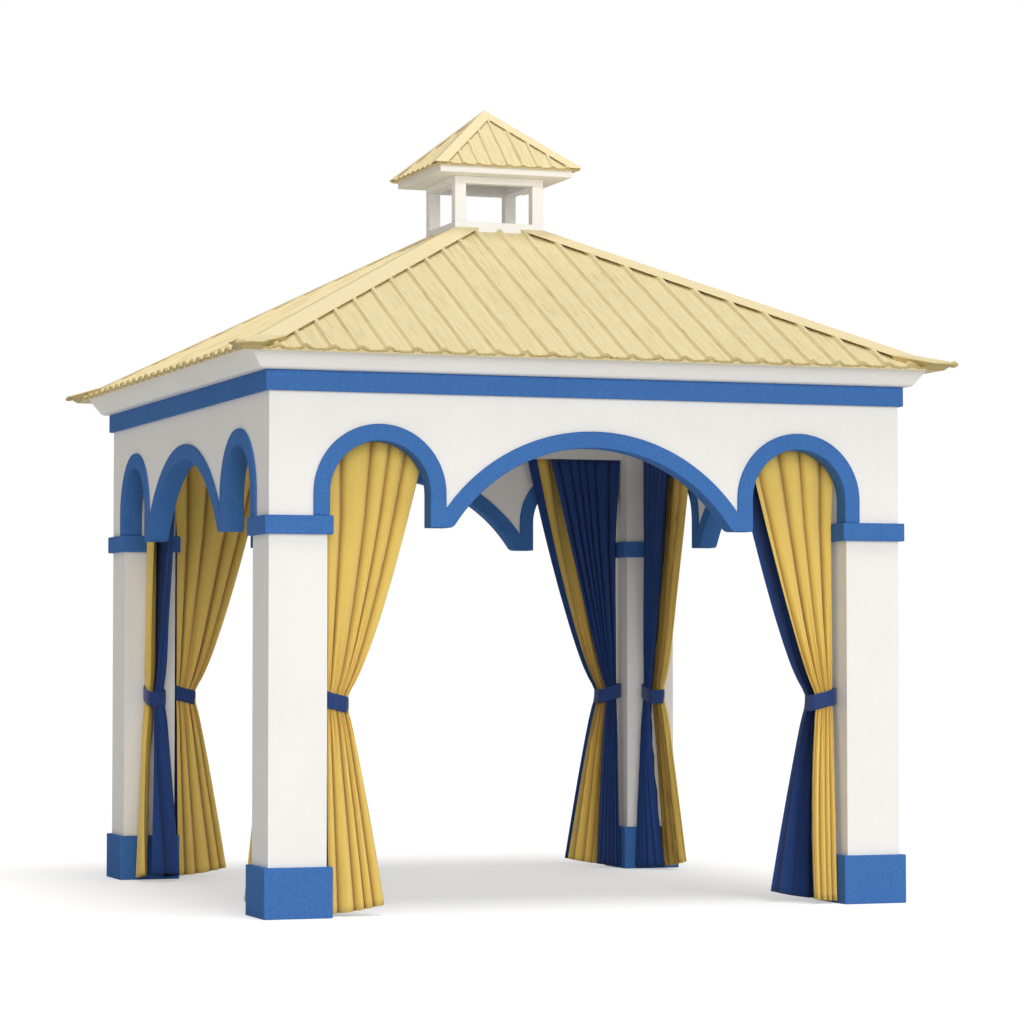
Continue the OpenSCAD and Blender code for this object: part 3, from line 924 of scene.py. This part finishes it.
@dataclass
class Curtain:
    """Cloths gathered under a header beam and tied back to a post.

    The shape is drawn at the front wall's right-hand end from the curtain's and tie-back's
    solids and then carried to its own wall and end. Fields: node, side, mirrored, hang; sizes
    and reaches in metres; powers of curves; lane, pleat and skirt shares of the solid's depth;
    where on a pleat its shade begins and over which range it deepens; and steps.
    """

    node: str
    side: int
    mirrored: bool
    hang: Hang
    waist_w: float = 0.122
    hem_w: float = 0.31
    head_bulge: float = 0.75
    hem_bulge: float = 0.85
    hem_rise: float = 0.045
    hem_power: float = 1.6
    post_gap: float = 0.005
    fullness: float = 1.18
    thickness: float = 0.0016
    lane_offset: float = 0.23
    lane_turn: float = 0.31
    pleat_room: float = 0.22
    tie_pinch: float = 0.3
    pinch_reach: float = 0.05
    skirt_fill: float = 0.92
    skirt_bowl: float = 0.25
    skirt_power: float = 0.8
    skirt_room: float = 0.1
    close_power: float = 8.0
    close_more: float = 4.0
    gather_above: float = 0.42
    gather_below: float = 0.24
    gathers: int = 5
    gather_least: float = 0.02
    gather_depth: float = 0.45
    first_pleat: float = 0.4
    pleat_power: float = 0.55
    shade_from: float = 0.65
    shade_range: float = 1.65
    shade_power: float = 1.2
    rows: int = 68
    columns: int = 144

    def __post_init__(self) -> None:
        """Reads the drawn shape's limits from the frame."""
        low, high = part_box("curtain_front_right")
        self.lead_x, self.skirt_y, self.hem_z = low
        self.post_x, _, self.head_z = high
        points = mesh_points("curtain_front_right")
        heading = points[np.isclose(points[:, 2], self.head_z, atol=NEAR), 1]
        self.out_y, self.in_y = float(heading.min()), float(heading.max())
        self.tie_low, self.tie_high = (corner[2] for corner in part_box("tie_backs"))
        self.face_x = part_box("post_front_right")[0][0]
        self.capital_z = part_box("capitals")[1][2]

    def width_at(self, z: Array) -> Array:
        """Width of the gathered curtain: a power curve up and down from the tie-back.

        Args:
            z: heights in metres.

        Returns:
            The width at each height.
        """
        up = np.clip((z - self.tie_high) / (self.head_z - self.tie_high), 0, 1) ** self.head_bulge
        down = np.clip((self.tie_low - z) / (self.tie_low - self.hem_z), 0, 1) ** self.hem_bulge
        heading = self.post_x - self.lead_x
        return self.waist_w + (heading - self.waist_w) * up + (self.hem_w - self.waist_w) * down

    def post_edge(self, z: Array) -> Array:
        """Place of the cloth's edge by the post, which it reaches above the capital."""
        above = np.clip((z - self.capital_z) / (self.head_z - self.capital_z), 0, 1)
        return self.post_x + (self.face_x - self.post_gap - self.post_x) * above

    def cloth(self, layer: Layer) -> Object:
        """Makes one cloth.

        Across the cloth each pleat is the size of a half sine, broad at the crest and creased
        at the root, at a slowly varying pace. Small gathers are added near the waist. In each
        row the pleats' depth is found by halving so that the row is as long as the flat cloth
        is wide, as far as there is room, and every pleat runs from the heading to the hem.

        Args:
            layer: which cloth, and where it lies.

        Returns:
            The cloth, as one thin sheet.
        """
        s = np.linspace(0, 1, self.columns)[None, :]
        t = np.linspace(0, 1, self.rows)[:, None]
        middle = (self.tie_low + self.tie_high) / 2
        split = (self.head_z - middle) / (self.head_z - self.hem_z)
        start, end = (np.interp(t, (0, split, 1), cover) for cover in (layer.start, layer.end))
        share = start + (end - start) * s
        hem = self.hem_z + self.hem_rise * share**self.hem_power
        above = self.head_z + (middle - self.head_z) * t / split
        below = middle + (hem - middle) * (t - split) / (1 - split)
        z = np.where(t <= split, above, below)
        x = self.post_edge(z) - (self.width_at(z) + self.post_edge(z) - self.post_x) * share
        depth = self.in_y - self.out_y
        skirt = np.clip((t - split) / (1 - split), 0, 1)
        lane = self._lane(layer, s, share, skirt)
        flare = (self.out_y - self.skirt_y) * self.skirt_fill * skirt**self.skirt_power
        spread = self._bowl(share) * flare * (lane - 0.5) / self.lane_offset
        wave = self._pleats(s, z - middle, layer)
        flat = float(np.max(end - start) * (self.post_x - self.lead_x) * self.fullness)
        pinch = self.tie_pinch * np.exp(-(((t - split) / self.pinch_reach) ** 2))
        room = self.pleat_room * depth * (1 + self.skirt_room * skirt - pinch)
        pleats = self._pleat_depth(x, z, wave, flat, room) * wave
        y = self.out_y + lane * depth + spread + (-pleats if layer.outer else pleats)
        points = joined(x, y, z)
        wide = float(np.linalg.norm(np.diff(points, axis=1), axis=-1).sum(axis=1).max())
        points = turned(points, self.side, self.mirrored)
        length = self.head_z - self.hem_z
        cut = joined(s * wide, t * length)
        piece = grid_piece(f"{self.node}_{layer.tag}", points, cut, flip=self.mirrored)
        # Painted shade: points towards a pleat's root get more of the crease colour, the same on
        # both faces of the cloth.
        shade = np.clip((self.shade_from - wave) / self.shade_range, 0, 1) ** self.shade_power
        pleat_shade = piece.data.attributes.new(PLEAT_SHADE, "FLOAT", "POINT")
        pleat_shade.data.foreach_set("value", shade.astype(np.float32).ravel())
        skin = piece.modifiers.new("cloth_thickness", "SOLIDIFY")
        skin.thickness = self.thickness
        skin.offset = 0.0
        return piece

    def _lane(self, layer: Layer, s: Array, share: Array, skirt: Array) -> Array:
        """Where a cloth lies between the outer (0) and the inner (1) limit of the curtain.

        The free edge of an inner cloth turns towards the middle, or at the leading edge it may
        close round to the outer side. More does so towards the hem.

        Args:
            layer: which cloth.
            s: place across the cloth, 0 to 1.
            share: place across the whole curtain, 0 at the post to 1 at the leading edge.
            skirt: how far below the tie-back, 0 to 1 at the hem.

        Returns:
            The lane of each point.
        """
        if layer.outer:
            return np.full_like(share * skirt, 0.5 - self.lane_offset)
        inner = 0.5 + self.lane_offset
        if layer.closes:
            power = self.close_power + self.close_more * skirt
            return inner - 2 * self.lane_offset * share**power
        turn = 0.0 if layer.end == FULL else self.lane_turn
        return inner - turn * skirt * s**2

    def _bowl(self, share: Array) -> Array:
        """Share of the skirt's flare: all at the leading edge, less by the post."""
        return 1 - self.skirt_bowl + self.skirt_bowl * np.sin(QUARTER_TURN * np.clip(share, 0, 1))

    def _pleats(self, s: Array, above_tie: Array, layer: Layer) -> Array:
        """Shape of the pleats, about -1 to 1, made uneven by slow sines of unrelated pace.

        Args:
            s: place across the cloth, 0 to 1.
            above_tie: height above the tie-back in metres.
            layer: which cloth.

        Returns:
            The height of the pleats before they are given a depth.
        """
        seed = 0.7 * self.side + 1.9 * self.mirrored + 0.8 * layer.outer
        pace = s + 0.05 * np.sin(4.3 * s + seed) + 0.022 * np.sin(11.0 * s + 2 * seed)
        sway = 0.25 * np.sin(1.9 * above_tie + seed) + 0.1 * np.sin(4.7 * above_tie + 3 * seed)
        phase = math.pi * layer.folds * pace + self.first_pleat + sway * s
        broad = 2 * np.abs(np.sin(phase)) ** self.pleat_power - 1
        reach = np.where(above_tie > 0, self.gather_above, self.gather_below)
        near = np.exp(-((above_tie / reach) ** 2))
        fine = np.sin(self.gathers * phase + seed) * (self.gather_least + self.gather_depth * near)
        return broad + fine

    @staticmethod
    def _pleat_depth(x: Array, z: Array, wave: Array, flat: float, room: Array) -> Array:
        """Finds each row's pleat depth by halving.

        Args:
            x: position along the wall.
            z: height.
            wave: the pleats' shape, about -1 to 1.
            flat: the length that each row should have.
            room: the most depth there is in each row, as a column.

        Returns:
            One depth for each row, as a column.
        """
        dx, dz, dw = (np.diff(a, axis=1) for a in (x, z, wave))
        low, high = np.zeros_like(room), room
        for _ in range(HALVINGS):
            deep = (low + high) / 2
            long = np.sqrt(dx**2 + dz**2 + (deep * dw) ** 2).sum(axis=1, keepdims=True)
            low, high = np.where(long < flat, deep, low), np.where(long < flat, high, deep)
        return low

    def build(self, palette: Palette) -> None:
        """Hangs the cloths in the place of the curtain's solid.

        Args:
            palette: the finishes.
        """
        for layer in self.hang.value:
            palette.fit(self.cloth(layer), layer.finish, layer.finish, self.node)


@dataclass
class TieBack:
    """A cloth band round a curtain's waist, a little higher at the post.

    Fields: the curtain, thickness and tilt in metres, powers that square up the plan, the
    height and the edges, how uneven the height is and how often, and steps.
    """

    curtain: Curtain
    thickness: float = 0.007
    tilt: float = 0.04
    plan_power: float = 0.42
    height_power: float = 0.5
    edge_power: float = 0.6
    uneven: float = 0.02
    puckers: int = 9
    steps: int = 72
    profile_steps: int = 20

    def build(self, palette: Palette) -> None:
        """Makes the band.

        The path is a superellipse round the waist in plan. The profile, a tall rounded loop,
        is carried along it and leans outward in the middle of its height.

        Args:
            palette: the finishes.
        """
        curtain = self.curtain
        low, high = curtain.tie_low, curtain.tie_high
        left, right = curtain.post_x - curtain.waist_w, curtain.face_x - self.thickness
        out_y, in_y = curtain.out_y, curtain.in_y
        cx, cy = (left + right) / 2, (out_y + in_y) / 2
        a = circle(self.steps)[:, None]
        b = circle(self.profile_steps)[None, :]
        rx, ry = (right - left) / 2, abs(in_y - out_y) / 2
        px = cx + rx * squared(np.cos(a), self.plan_power)
        py = cy + ry * squared(np.sin(a), self.plan_power)
        tall = squared(np.sin(b), self.height_power)
        off = self.thickness * (0.5 + 0.5 * squared(np.cos(b), self.edge_power))
        wavy = 1 + self.uneven * np.sin(self.puckers * a + 1.3 * curtain.side)
        rise = self.tilt * ((px - cx) / rx) * 0.5
        z = (low + high) / 2 + rise + (high - low) / 2 * tall * wavy
        drawn = joined(px + np.cos(a) * off, py + np.sin(a) * off, z)
        points = turned(drawn, curtain.side, curtain.mirrored)
        cut = joined(a * (rx + ry) / 2, z - low)
        name = f"tie_back_{SIDES[curtain.side]}_{'far' if curtain.mirrored else 'near'}"
        piece = grid_piece(
            name, points, cut, wrap_rows=True, wrap_columns=True, flip=curtain.mirrored
        )
        palette.fit(piece, "tie_blue", "tie_blue", "tie_backs")


class Drapery:
    """All eight curtains with their tie-backs."""

    def build(self, palette: Palette) -> None:
        """Hangs each curtain the way the photograph shows its corner, two on each wall in turn.

        Args:
            palette: the finishes.
        """
        hangs = {
            "front_right": Hang.NAVY_FRONT_EDGE, "front_left": Hang.GOLD_OUTSIDE,
            "right_back": Hang.GOLD_OUTSIDE, "right_front": Hang.GOLD_OUTSIDE,
            "back_left": Hang.GOLD_INSIDE, "back_right": Hang.NAVY_EDGED,
            "left_front": Hang.GOLD_OUTSIDE, "left_back": Hang.NAVY_BY_ROOM,
        }
        for i, (name, hang) in enumerate(hangs.items()):
            curtain = Curtain(f"curtain_{name}", side=i // 2, mirrored=i % 2 == 1, hang=hang)
            curtain.build(palette)
            TieBack(curtain).build(palette)


# Stage, light and camera


@dataclass
class Studio:
    """Pale floor, white surroundings, soft light and the camera.

    Fields: the camera's place in metres, turn and tilt in degrees, and lens and sensor in
    millimetres; each lamp's strength, with its turn, height and softness in degrees, in that
    order; the sky's light; the floor's half width in metres, its grey, its lift to white for the
    camera and its roughness.
    """

    camera_at: tuple[float, float, float] = (-6.567, -18.991, 1.385)
    camera_turn: float = 19.55
    camera_tilt: float = 2.422
    lens: float = 118.77
    sensor: float = 36.0
    key: tuple[float, float, float, float] = (1.5, 12.0, 75.0, 28.0)
    fill: tuple[float, float, float, float] = (1.6, -6.0, 12.0, 40.0)
    sky_level: float = 0.37
    sky_tint: Colour = (1.0, 0.98, 0.95, 1.0)
    floor_half: float = 60.0
    floor_grey: float = 0.7
    floor_lift: float = 0.42
    floor_rough: float = 0.9

    def build(self) -> None:
        """Sets up floor, world, lamps, camera and the view transform."""
        self._floor()
        self._world()
        self._sun("key", *self.key)
        self._sun("fill", *self.fill)
        self._camera()
        bpy.context.scene.view_settings.view_transform = "Standard"

    def _floor(self) -> None:
        """A plain pale floor that is lifted to white for the camera and keeps the shadow."""
        h = self.floor_half
        mesh = bpy.data.meshes.new("floor")
        mesh.from_pydata([(-h, -h, 0), (h, -h, 0), (h, h, 0), (-h, h, 0)], [], [(0, 1, 2, 3)])
        floor = linked("floor", mesh)
        material, graph, shader = blank_material("floor_white")
        grey = (*[self.floor_grey] * 3, 1.0)
        matt = {"Base Color": grey, "Roughness": self.floor_rough, "Specular IOR Level": 0.0}
        graph.feed(shader, matt)
        seen = graph.add("ShaderNodeLightPath").outputs["Is Camera Ray"]
        lift = graph.math("MULTIPLY", seen, self.floor_lift)
        graph.feed(shader, {"Emission Color": WHITE, "Emission Strength": lift})
        mesh.materials.append(material)

    def _world(self) -> None:
        """An even sky: white where the camera sees it, and a plain soft level as light."""
        world = bpy.data.worlds.new("sky")
        bpy.context.scene.world = world
        world.use_nodes = True
        graph = Graph(world.node_tree)
        seen = graph.add("ShaderNodeLightPath").outputs["Is Camera Ray"]
        tint = graph.mix(seen, self.sky_tint, WHITE)
        level = graph.spread(seen, to_low=self.sky_level)
        graph.feed(world.node_tree.nodes["Background"], {"Color": tint, "Strength": level})

    @staticmethod
    def _sun(name: str, strength: float, turn: float, height: float, softness: float) -> None:
        """A soft far lamp in front of the pavilion.

        Args:
            name: the lamp's name.
            strength: its strength.
            turn: degrees to the right of straight ahead.
            height: degrees above the ground.
            softness: the angle in degrees over which its light is spread.
        """
        lamp = bpy.data.lights.new(name, "SUN")
        lamp.energy = strength
        lamp.angle = math.radians(softness)
        turned_to = (math.radians(90 - height), 0.0, math.radians(turn))
        linked(name, lamp).rotation_euler = turned_to

    def _camera(self) -> None:
        """The camera at the photograph's viewing angle."""
        lens = bpy.data.cameras.new("camera")
        lens.lens = self.lens
        lens.sensor_width = self.sensor
        camera = linked("camera", lens)
        camera.location = self.camera_at
        tilt, turn = math.radians(90 + self.camera_tilt), math.radians(-self.camera_turn)
        camera.rotation_euler = (tilt, 0.0, turn)
        bpy.context.scene.camera = camera


def main() -> None:
    """Builds the pavilion's looks."""
    logging.basicConfig(level=logging.INFO, format="%(name)s %(message)s")
    palette = Palette()
    Studio().build()
    RigidPieces().build(palette)
    EaveLip("roof_sheet_front", "eave_lip").build(palette)
    CapEnds().build(palette)
    EaveLip("lantern_sheets_front_back", "lantern_lip", radius=0.006, pitch=0.092).build(palette)
    Drapery().build(palette)


if __name__ == "__main__":
    main()
